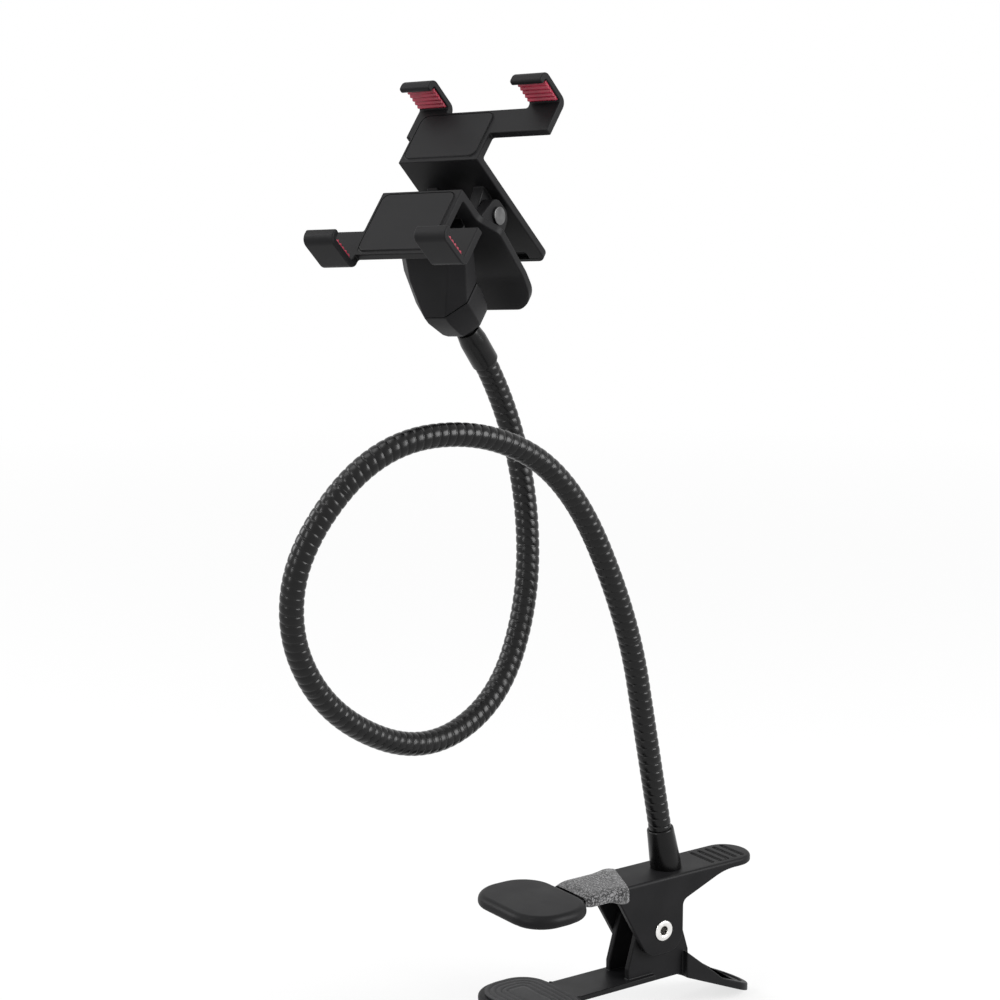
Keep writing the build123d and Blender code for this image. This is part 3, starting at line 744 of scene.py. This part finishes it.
@dataclass
class TorsionSpring:
    """Torsion spring wound round a hinge, with a straight leg along each handle."""

    name: str
    node: str
    centre: Vector
    out: Vector
    axis: Vector
    bodies: tuple[Body, Body]
    core_mm: float
    wire_mm: float
    turns: int
    legs: tuple[Pair, Pair]
    gap_mm: float = 0.5
    turn_steps: int = 40
    leg_steps: int = 12
    around: int = 12

    def spot(self, angle: float, along: float, reach: float = 0.0, way: float = 0.0) -> Vector:
        """Point of the wire's centre line.

        Args:
            angle: Angle round the coil in radians.
            along: Distance along the coil's axis in millimetres.
            reach: Distance out along a leg in millimetres.
            way: Direction of that leg in radians.

        Returns:
            The point in metres.
        """
        mean = self.core_mm + self.gap_mm + self.wire_mm / 2
        x = mean * math.cos(angle) + reach * math.cos(way)
        y = mean * math.sin(angle) + reach * math.sin(way)
        up = self.axis.cross(self.out)
        return self.centre + (self.out * x + up * y + self.axis * along) * MM

    def path(self) -> list[Vector]:
        """Centre line of the wire.

        Returns:
            Points from one leg's tip to the other's, in metres.
        """
        (angle_a, reach_a), (angle_b, reach_b) = self.legs
        way_a, way_b = math.radians(angle_a), math.radians(angle_b)
        start, stop = way_a - math.pi / 2, way_b + math.pi / 2
        travel = (self.turns - 1) * self.wire_mm
        rest = (start - stop) % FULL_TURN
        whole = math.floor(travel / self.wire_mm - rest / FULL_TURN)
        swept = rest + FULL_TURN * whole
        count, steps = self.leg_steps, self.turn_steps * (whole + 1)
        leg_a = [
            self.spot(start, -travel / 2, reach_a * (1 - i / count), way_a) for i in range(count)
        ]
        coil = [
            self.spot(start - swept * i / steps, travel * (i / steps - 0.5))
            for i in range(steps + 1)
        ]
        leg_b = [
            self.spot(stop, travel / 2, reach_b * (i + 1) / count, way_b) for i in range(count)
        ]
        return leg_a + coil + leg_b

    def build(self) -> Piece:
        """Sweeps the wire.

        Returns:
            The spring.
        """
        path = self.path()
        radius = self.wire_mm / 2 * MM
        points = tube(path, lambda length, angle: radius, self.around)
        faces = ring_faces(len(path), self.around, capped=True)
        spring = new_piece(self.name, points, faces)
        dress(spring, Slot.SPRING)
        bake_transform(spring)
        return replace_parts(spring, self.node)


@dataclass
class WovenSleeve:
    """Braided sleeve pulled over the clamp's arm and the front corner of its plate."""

    near_end_mm: float = 35.4
    far_end_mm: float = 45.0
    puff_mm: float = 1.1
    puff_slope: float = 5.0
    end_sink: float = 0.25
    under_slope: float = -0.5
    under_puff: float = 0.8
    flare_from: float = 0.55
    flare_mm: Triple = (1.8, 0.35, 2.4)
    roundness: Pair = (0.34, 0.62)
    strand_mm: float = 0.7
    strand_relief_mm: float = 0.16
    strand_crown: float = 0.7
    strand_arch: float = 0.25
    shade_start: float = -0.56
    shade_spread: float = 0.36
    shade_count: int = 4096
    shade_strides: tuple[int, int, int] = (31, 7, 1913)
    around: int = 380
    along: int = 190
    outline_steps: int = 4000
    seed: int = 7

    def section(self, half_y: float, half_z: float) -> list[Vector]:
        """Rounded outline of the sleeve, its points evenly spaced round the arm.

        Args:
            half_y: Half of the outline's width in metres.
            half_z: Half of its height.

        Returns:
            The outline's points, with the height in Z.
        """
        fine = []
        for step in range(self.outline_steps + 1):
            angle = FULL_TURN * step / self.outline_steps
            cos, sin = math.cos(angle), math.sin(angle)
            y = half_y * math.copysign(abs(cos) ** self.roundness[0], cos)
            z = half_z * math.copysign(abs(sin) ** self.roundness[1], sin)
            fine.append(Vector((0, y, z)))
        girth = sum((b - a).length for a, b in zip(fine, fine[1:]))
        return even_path(fine, girth / self.around)[: self.around]

    def build(self) -> Piece:
        """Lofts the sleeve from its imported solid's box and raises the strands of the braid.

        Returns:
            The sleeve.
        """
        low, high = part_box("woven_sleeve")
        middle, half = (low + high) / 2, (high - low) / 2
        outline = self.section(half.y, half.z)
        girth = sum((b - a).length for a, b in zip(outline, outline[1:] + outline[:1]))
        outward = [
            (outline[(k + 1) % self.around] - outline[k - 1]).cross(Vector((1, 0, 0))).normalized()
            for k in range(self.around)
        ]
        draw = random.Random(self.seed)
        warp = [draw.random() for _ in range(self.shade_count)]
        points, shades = [], []
        for i in range(self.along + 1):
            share = i / self.along
            swell = min(1.0, self.puff_slope * share, self.puff_slope * (1 - share))
            puff = self.puff_mm * MM * (math.sin(math.pi / 2 * swell) - self.end_sink)
            for k, (spot, out) in enumerate(zip(outline, outward)):
                puffed = spot + out * (puff if out.z > self.under_slope else self.under_puff * puff)
                reach = (spot.y / half.y + 1) / 2
                end = (self.near_end_mm + (self.far_end_mm - self.near_end_mm) * reach) * MM
                x = low.x + share * (end - low.x)
                raised, shade = self.braid(x - low.x, girth * k / self.around, girth, warp)
                placed = puffed + out * (self.strand_relief_mm * MM * (raised - 0.5))
                placed += self.flare(share, spot.y / half.y, spot.z / half.z)
                points.append(Vector((x, middle.y + placed.y, middle.z + placed.z)))
                shades.append(shade)
        faces = ring_faces(self.along + 1, self.around)
        sleeve = new_piece("woven_sleeve_braid", points, faces)
        layer = sleeve.data.attributes.new(STRAND_LAYER, "FLOAT", "POINT")
        layer.data.foreach_set("value", shades)
        dress(sleeve, Slot.WOVEN)
        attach(sleeve, Body.CLAMP.value)
        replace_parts(sleeve, "woven_sleeve")
        return sleeve

    def flare(self, share: float, side: float, height: float) -> Vector:
        """Shift that opens the rear end out over the plate.

        Args:
            share: Place along the sleeve, from zero at the foot to one.
            side: Place across the arm, from minus one to one.
            height: Place up its section, from minus one to one.

        Returns:
            The shift in metres.
        """
        rise = max(0.0, (share - self.flare_from) / (1 - self.flare_from))
        grown = rise * rise * (3 - 2 * rise) * MM
        wide, top, low = Vector(self.flare_mm)
        return Vector((0, wide * side, top * height if height > 0 else low * height)) * grown

    def braid(self, along: float, around: float, girth: float, warp: Sequence[float]) -> Pair:
        """Height and shade of a two-over-two braid at one point.

        Args:
            along: Distance along the sleeve in metres.
            around: Distance round it in metres.
            girth: Length round it in metres.
            warp: Random shades of the strands.

        Returns:
            The height, between zero and one, and the strand's shade.
        """
        pitch = girth / round(girth / (self.strand_mm * MM))
        first, second = (around + along) / pitch, (around - along) / pitch
        over_first = (math.floor(first) + math.floor(second)) % 4 < 2
        lane, across = (first, second) if over_first else (second, first)
        crown = math.sin(math.pi * (lane % 1.0)) ** self.strand_crown
        bow = math.cos(math.pi * (across % 1.0 - 0.5))
        arch = 1 - self.strand_arch + self.strand_arch * bow
        lane_stride, cross_stride, other_way = self.shade_strides
        number = math.floor(lane) * lane_stride + math.floor(across) * cross_stride
        if not over_first:
            number += other_way
        shade = self.shade_spread * warp[number % len(warp)] + self.shade_start
        return crown * arch, shade


@dataclass
class GripPad:
    """Rubber pad under a foot, with rounded edges and ring grooves in its gripping face."""

    node: str
    corner_mm: float
    grips_down: bool
    body: Body
    groove_mm: float = 0.4
    groove_pitch_mm: float = 2.2
    groove_line: tuple[Pair, ...] = (
        (0, 0), (0.2, 0.55), (0.45, 1), (0.8, 1), (1.05, 0.55), (1.25, 0),
    )
    rings: int = 4
    border_mm: float = 0.8
    middle_mm: float = 0.4
    edge_mm: float = 0.3
    edge_steps: int = 3
    corner_steps: int = 14

    def profile(self, thick: float) -> list[Pair]:
        """Inset and height, from the back face's middle round the edge to the gripping face.

        Args:
            thick: Thickness of the pad in millimetres.

        Returns:
            Pairs of inset and height in millimetres, with the gripping face at zero.
        """
        edge, inmost = self.edge_mm, self.corner_mm - self.middle_mm
        line = [(inmost, thick), (0.0, thick), (0.0, edge)]
        for step in range(1, self.edge_steps + 1):
            turn = math.radians(90 * step / self.edge_steps)
            line.append((edge * (1 - math.cos(turn)), edge * (1 - math.sin(turn))))
        for ring in range(self.rings):
            start = edge + self.border_mm + ring * self.groove_pitch_mm
            line += [(start + across, depth * self.groove_mm) for across, depth in self.groove_line]
        return line + [(inmost, 0.0)]

    def ring(self, half_x: float, half_y: float, inset: float) -> list[Pair]:
        """Corner points of a rounded outline, drawn in by an inset.

        Args:
            half_x: Half of the pad's depth in millimetres.
            half_y: Half of its width in millimetres.
            inset: How far the outline is drawn in.

        Returns:
            Points round the outline in millimetres.
        """
        radius = self.corner_mm - inset
        outline = []
        for turn, (sign_x, sign_y) in enumerate(((1, 1), (-1, 1), (-1, -1), (1, -1))):
            for step in range(self.corner_steps + 1):
                angle = math.pi / 2 * (turn + step / self.corner_steps)
                x = sign_x * (half_x - self.corner_mm) + radius * math.cos(angle)
                y = sign_y * (half_y - self.corner_mm) + radius * math.sin(angle)
                outline.append((x, y))
        return outline

    def build(self) -> Piece:
        """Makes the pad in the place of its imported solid.

        Returns:
            The pad.
        """
        low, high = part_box(self.node)
        middle, half = (low + high) / 2, (high - low) / 2 / MM
        grip, way = (low.z, 1) if self.grips_down else (high.z, -1)
        profile = self.profile(2 * half.z)
        points = [
            Vector((middle.x + x * MM, middle.y + y * MM, grip + way * height * MM))
            for inset, height in profile
            for x, y in self.ring(half.x, half.y, inset)
        ]
        faces = ring_faces(len(profile), 4 * (self.corner_steps + 1), capped=True)
        pad = new_piece(f"{self.node}_grip", points, faces)
        dress(pad, Slot.PAD)
        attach(pad, self.body.value)
        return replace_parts(pad, self.node)


@dataclass
class RolledEyelet:
    """Hollow rivet of the clamp's pivot, its ends rolled over into round rims."""

    bore_mm: float = 1.65
    shank_mm: float = 2.3
    rim_mm: float = 3.9
    rim_height_mm: float = 0.8
    rim_power: float = 0.8
    tuck_mm: float = 0.15
    overlap_mm: float = 0.02
    rim_steps: int = 12
    around: int = 64

    def profile(self, half: float) -> list[Pair]:
        """Closed outline of the wall, as radius and height along the pivot.

        Args:
            half: Half of the eyelet's length over its rims in millimetres.

        Returns:
            Pairs of radius and height in millimetres.
        """
        middle, reach = (self.bore_mm + self.rim_mm) / 2, (self.rim_mm - self.bore_mm) / 2
        upper = []
        for step in range(self.rim_steps + 1):
            turn = math.pi * (1 - step / self.rim_steps)
            fall = self.rim_height_mm * (1 - math.sin(turn) ** self.rim_power)
            upper.append((middle + reach * math.cos(turn), half - fall))
        seat = half - self.rim_height_mm - self.overlap_mm
        upper += [(self.rim_mm - self.tuck_mm, seat), (self.shank_mm, seat)]
        return upper + [(radius, -height) for radius, height in reversed(upper)]

    def build(self) -> Piece:
        """Turns the profile round the pivot.

        Returns:
            The eyelet.
        """
        low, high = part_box("pivot_eyelet")
        centre, half = (low + high) / 2, (high.y - low.y) / 2 / MM
        profile = self.profile(half)
        points = []
        for k in range(self.around):
            angle = FULL_TURN * k / self.around
            for radius, height in profile:
                spot = Vector((radius * math.cos(angle), height, radius * math.sin(angle)))
                points.append(centre + spot * MM)
        faces = ring_faces(self.around, len(profile), closed=True)
        eyelet = dress(new_piece("pivot_eyelet_rolled", points, faces), Slot.EYELET)
        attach(eyelet, Body.CLAMP.value)
        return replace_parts(eyelet, "pivot_eyelet")


@dataclass
class DeskClamp:
    """Spring clamp: two jaws on an eyelet, a sleeve on the arm and the neck's ferrule on top."""

    shells: tuple[Shell, ...] = (
        Shell("upper_jaw", Body.CLAMP, Slot.MOULDED, 0.5),
        Shell("lower_jaw", Body.LOWER_JAW, Slot.MOULDED, 0.5),
        Shell("base_ferrule", Body.CLAMP, Slot.FERRULE, 0.3),
        Shell("base_screw", Body.CLAMP, Slot.SCREW, 0.15),
    )
    pad_corner_mm: float = 10.6

    def build(self) -> list[Piece]:
        """Makes and dresses all pieces of the clamp.

        Returns:
            The pieces.
        """
        spring = TorsionSpring(
            "clamp_spring_wire",
            "clamp_spring",
            centre=joint_place("clamp_hinge"),
            out=Vector((1, 0, 0)),
            axis=Vector((0, -1, 0)),
            bodies=(Body.LOWER_JAW, Body.CLAMP),
            core_mm=2.4,
            wire_mm=1.5,
            turns=5,
            legs=((-36.5, 30.0), (27.0, 26.0)),
        )
        pieces = (
            *self.shells,
            GripPad("upper_jaw_pad", self.pad_corner_mm, True, Body.CLAMP),
            GripPad("lower_jaw_pad", self.pad_corner_mm, False, Body.LOWER_JAW),
            RolledEyelet(),
            WovenSleeve(),
            spring,
        )
        return [piece.build() for piece in pieces]


@dataclass
class Cushion:
    """Ribbed silicone pad on the inside of one claw."""

    node: str
    body: Body
    across_mm: float
    flipped: bool

    width_mm: float = 11.7
    front_mm: float = -1.6
    back_mm: float = 7.5
    base_mm: float = -1.2
    rib_mm: float = 0.6
    ribs: int = 5
    steps: int = 10
    edge_mm: float = 0.4
    edge_lane: float = 0.3

    def points(self, clip: "PhoneClip", lanes: Sequence[float]) -> list[Vector]:
        """Points of the ribbed face and of the back, row by row.

        Args:
            clip: Clip whose frame places the cushion.
            lanes: Places of each row's points across the cushion in millimetres.

        Returns:
            The points in metres.
        """
        count, half = self.ribs * self.steps, self.width_mm / 2
        spots = []
        for ribbed in (True, False):
            for i in range(count + 1):
                share = i / count
                depth = self.front_mm + (self.back_mm - self.front_mm) * share
                valley = 1 - math.sin(math.pi * self.ribs * share) ** 2
                for lane in lanes:
                    rim = max(0.0, 1 - (half - abs(lane)) / self.edge_mm)
                    fall = self.edge_mm * (1 - math.sqrt(1 - rim**2))
                    height = -self.rib_mm * valley - fall if ribbed else self.base_mm
                    spots.append(clip.place(self.across_mm + lane, height, depth, self.flipped))
        return spots

    def faces(self, wide: int) -> list[list[int]]:
        """Faces of both sides and of the border between them.

        Args:
            wide: Points of each row.

        Returns:
            Point numbers of each face.
        """
        rows = self.ribs * self.steps + 1
        under = rows * wide
        faces = []
        for layer in (0, under):
            for i in range(rows - 1):
                for k in range(wide - 1):
                    corner = layer + i * wide + k
                    faces.append([corner, corner + 1, corner + wide + 1, corner + wide])
        border = (
            list(range(wide))
            + [i * wide + wide - 1 for i in range(1, rows)]
            + [(rows - 1) * wide + k for k in range(wide - 2, -1, -1)]
            + [i * wide for i in range(rows - 2, 0, -1)]
        )
        for a, b in zip(border, border[1:] + border[:1]):
            faces.append([a, b, under + b, under + a])
        return faces

    def build(self, clip: "PhoneClip") -> Piece:
        """Makes the cushion on its claw.

        Args:
            clip: Clip whose frame places the cushion.

        Returns:
            The cushion.
        """
        half = self.width_mm / 2
        insets = (0.0, self.edge_mm * self.edge_lane, self.edge_mm, half)
        lanes = sorted({sign * (half - inset) for inset in insets for sign in (-1, 1)})
        name = f"{self.node}_ribs"
        cushion = new_piece(name, self.points(clip, lanes), self.faces(len(lanes)))
        dress(cushion, Slot.SILICONE)
        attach(cushion, self.body.value)
        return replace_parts(cushion, self.node)


@dataclass
class PhoneClip:
    """Double-claw clip with its ball swivel, lock nut, squeeze handles and red cushions."""

    shells: tuple[Shell, ...] = (
        Shell("head_ferrule", Body.NECK_TOP, Slot.FERRULE, 0.25),
        Shell("swivel_ball", Body.BALL, Slot.MOULDED, 0.2),
        Shell("lock_nut", Body.NUT, Slot.MOULDED, 0.5),
        Shell("clip_lower_jaw", Body.CLIP_BASE, Slot.MOULDED, 0.5),
        Shell("clip_upper_jaw", Body.CLIP_TOP, Slot.MOULDED, 0.5),
        Shell("clip_pin", Body.CLIP_BASE, Slot.SCREW, 0.25),
    )
    opening_mm: float = 67.0
    swivel_up_mm: float = 10.8
    swivel_depth_mm: float = 41.0
    claw_spacing_mm: float = 47.2
    lower_shift_mm: float = 1.5
    upper_shift_mm: float = 10.8

    def __post_init__(self) -> None:
        """Takes the clip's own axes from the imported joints."""
        self.across = joint_axis("head_tilt")
        self.normal = joint_axis("nut_turn")
        self.upward = self.normal.cross(self.across)
        self.origin = joint_place("head_spin") + (
            self.normal * self.swivel_depth_mm - self.upward * self.swivel_up_mm
        ) * MM

    def place(self, across: float, height: float, depth: float, flipped: bool) -> Vector:
        """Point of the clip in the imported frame.

        Args:
            across: Distance to the side in millimetres.
            height: Distance up from the lower claws' cushions, or down from the upper ones.
            depth: Distance behind the clip's opening.
            flipped: True to measure from the upper claws.

        Returns:
            The point in metres.
        """
        up = self.opening_mm - height if flipped else height
        return self.origin + (self.across * across + self.upward * up - self.normal * depth) * MM

    def build(self) -> list[Piece]:
        """Makes and dresses all pieces of the clip and its swivel.

        Returns:
            The pieces.
        """
        made = [shell.build() for shell in self.shells]
        for name, side in (("a", -1), ("b", 1)):
            centre = side * self.claw_spacing_mm / 2
            low, top = centre + self.lower_shift_mm, centre + self.upper_shift_mm
            for cushion in (
                Cushion(f"lower_claw_pad_{name}", Body.CLIP_BASE, low, False),
                Cushion(f"upper_claw_pad_{name}", Body.CLIP_TOP, top, True),
            ):
                made.append(cushion.build(self))
        spring = TorsionSpring(
            "clip_spring_wire",
            "clip_spring",
            centre=joint_place("clip_hinge"),
            out=-self.normal,
            axis=self.across,
            bodies=(Body.CLIP_BASE, Body.CLIP_TOP),
            core_mm=2.0,
            wire_mm=1.1,
            turns=8,
            legs=((-8.0, 20.0), (8.5, 20.0)),
        )
        return made + [spring.build()]


@dataclass(frozen=True)
class Softbox:
    """Rectangular lamp that faces the object, with its place from there and size in metres."""

    name: str
    offset: Triple
    size: Pair
    power: float

    def build(self, aim: Vector) -> None:
        """Adds the lamp.

        Args:
            aim: Point that it faces.
        """
        lamp = bpy.data.lights.new(self.name, "AREA")
        lamp.shape = "RECTANGLE"
        lamp.size, lamp.size_y = self.size
        lamp.energy = self.power
        obj = linked(self.name, lamp)
        way = Vector(self.offset)
        obj.location = aim + way
        obj.rotation_euler = way.to_track_quat("Z", "Y").to_euler()
        obj.visible_camera = False


@dataclass
class Studio:
    """Pale floor, soft lamps and the camera of the picture."""

    azimuth_deg: float = -35.5
    elevation_deg: float = 12.3
    camera_mm: Triple = (-550.5, -752.3, 352.85)
    lens_mm: float = 99.9
    sensor_mm: float = 36.0
    floor_radius: float = 4.0
    floor_corners: int = 96
    floor_gap: float = 0.0005
    floor_grey: float = 0.86
    floor_roughness: float = 0.9
    floor_shine: float = 0.1
    floor_fade: Pair = (0.25, 1.2)
    floor_glow: float = 0.72
    ambient: float = 0.35
    lamps: tuple[Softbox, ...] = (
        Softbox("key_softbox", (0.72, -1.03, 0.56), (0.8, 0.8), 21.0),
        Softbox("top_softbox", (-0.35, 0.25, 1.2), (0.7, 0.7), 5.0),
        Softbox("left_strip", (-1.15, -0.2, 0.5), (0.2, 0.7), 5.0),
        Softbox("back_softbox", (-0.75, 1.0, 0.6), (0.5, 0.7), 8.0),
    )

    def build(self) -> None:
        """Sets up the floor, the world, the lamps and the camera."""
        bpy.context.scene.view_settings.view_transform = "Standard"
        self.add_floor()
        self.light_world()
        for lamp in self.lamps:
            lamp.build((CAD_BOX[0] + CAD_BOX[1]) / 2)
        self.add_camera()

    def add_floor(self) -> None:
        """Makes a round pale floor that fades into the white background."""
        bpy.ops.mesh.primitive_circle_add(
            vertices=self.floor_corners,
            radius=self.floor_radius,
            fill_type="NGON",
            location=(0, 0, CAD_BOX[0].z - self.floor_gap),
        )
        floor = bpy.context.object
        floor.name = "studio_floor"
        graph = ShaderGraph("studio_floor_paper")
        graph.set(
            Base_Color=(self.floor_grey, self.floor_grey, self.floor_grey, 1),
            Roughness=self.floor_roughness,
            Specular_IOR_Level=self.floor_shine,
        )
        glow = graph.node("ShaderNodeEmission", Strength=1.0)
        distance = graph.node("ShaderNodeVectorMath")
        distance.operation = "LENGTH"
        graph.link(graph.place(), distance.inputs[0])
        near, far = self.floor_fade
        fade = graph.node(
            "ShaderNodeMapRange", From_Min=near, From_Max=far, To_Min=self.floor_glow
        )
        graph.link(distance.outputs["Value"], fade.inputs["Value"])
        seen = graph.node("ShaderNodeMath")
        seen.operation = "MULTIPLY"
        graph.link(fade.outputs["Result"], seen.inputs[0])
        graph.link(self.seen_rays(graph.tree), seen.inputs[1])
        mix = graph.node("ShaderNodeMixShader")
        graph.link(seen.outputs["Value"], mix.inputs["Fac"])
        graph.link(graph.shader.outputs["BSDF"], mix.inputs[1])
        graph.link(glow.outputs["Emission"], mix.inputs[2])
        graph.link(mix.outputs["Shader"], graph.tree.nodes["Material Output"].inputs["Surface"])
        floor.data.materials.append(graph.material)

    @staticmethod
    def seen_rays(tree: bpy.types.NodeTree) -> Socket:
        """Socket that is one for rays that look at the background.

        Args:
            tree: Node tree to add the nodes to.

        Returns:
            The value socket.
        """
        path = tree.nodes.new("ShaderNodeLightPath")
        total = path.outputs["Is Camera Ray"]
        for name in ("Is Glossy Ray", "Is Transmission Ray"):
            most = tree.nodes.new("ShaderNodeMath")
            most.operation = "MAXIMUM"
            tree.links.new(total, most.inputs[0])
            tree.links.new(path.outputs[name], most.inputs[1])
            total = most.outputs["Value"]
        return total

    def light_world(self) -> None:
        """Makes a soft ambient light with a white background."""
        world = bpy.data.worlds.new("studio_world")
        bpy.context.scene.world = world
        world.use_nodes = True
        tree = world.node_tree
        background = tree.nodes["Background"]
        background.inputs["Color"].default_value = (1, 1, 1, 1)
        level = tree.nodes.new("ShaderNodeMapRange")
        level.inputs["To Min"].default_value = self.ambient
        tree.links.new(self.seen_rays(tree), level.inputs["Value"])
        tree.links.new(level.outputs["Result"], background.inputs["Strength"])

    def add_camera(self) -> None:
        """Sets the camera at the picture's viewing angle."""
        azimuth, elevation = math.radians(self.azimuth_deg), math.radians(self.elevation_deg)
        out, up = math.cos(elevation), math.sin(elevation)
        back = Vector((math.sin(azimuth) * out, -math.cos(azimuth) * out, up))
        data = bpy.data.cameras.new("picture_camera")
        data.lens = self.lens_mm
        data.sensor_width = self.sensor_mm
        camera = linked("picture_camera", data)
        camera.location = Vector(self.camera_mm) * MM
        camera.rotation_euler = back.to_track_quat("Z", "Y").to_euler()
        bpy.context.scene.camera = camera


def main() -> None:
    """Builds the holder's sub-assemblies in order, then the studio."""
    logging.basicConfig(level=logging.INFO, format="%(name)s: %(message)s")
    for assembly in (Gooseneck(), DeskClamp(), PhoneClip()):
        group = type(assembly).__name__
        for made in assembly.build():
            log.info("%s: %s, %d faces", group, made.name, len(made.data.polygons))
    Studio().build()


if __name__ == "__main__":
    main()
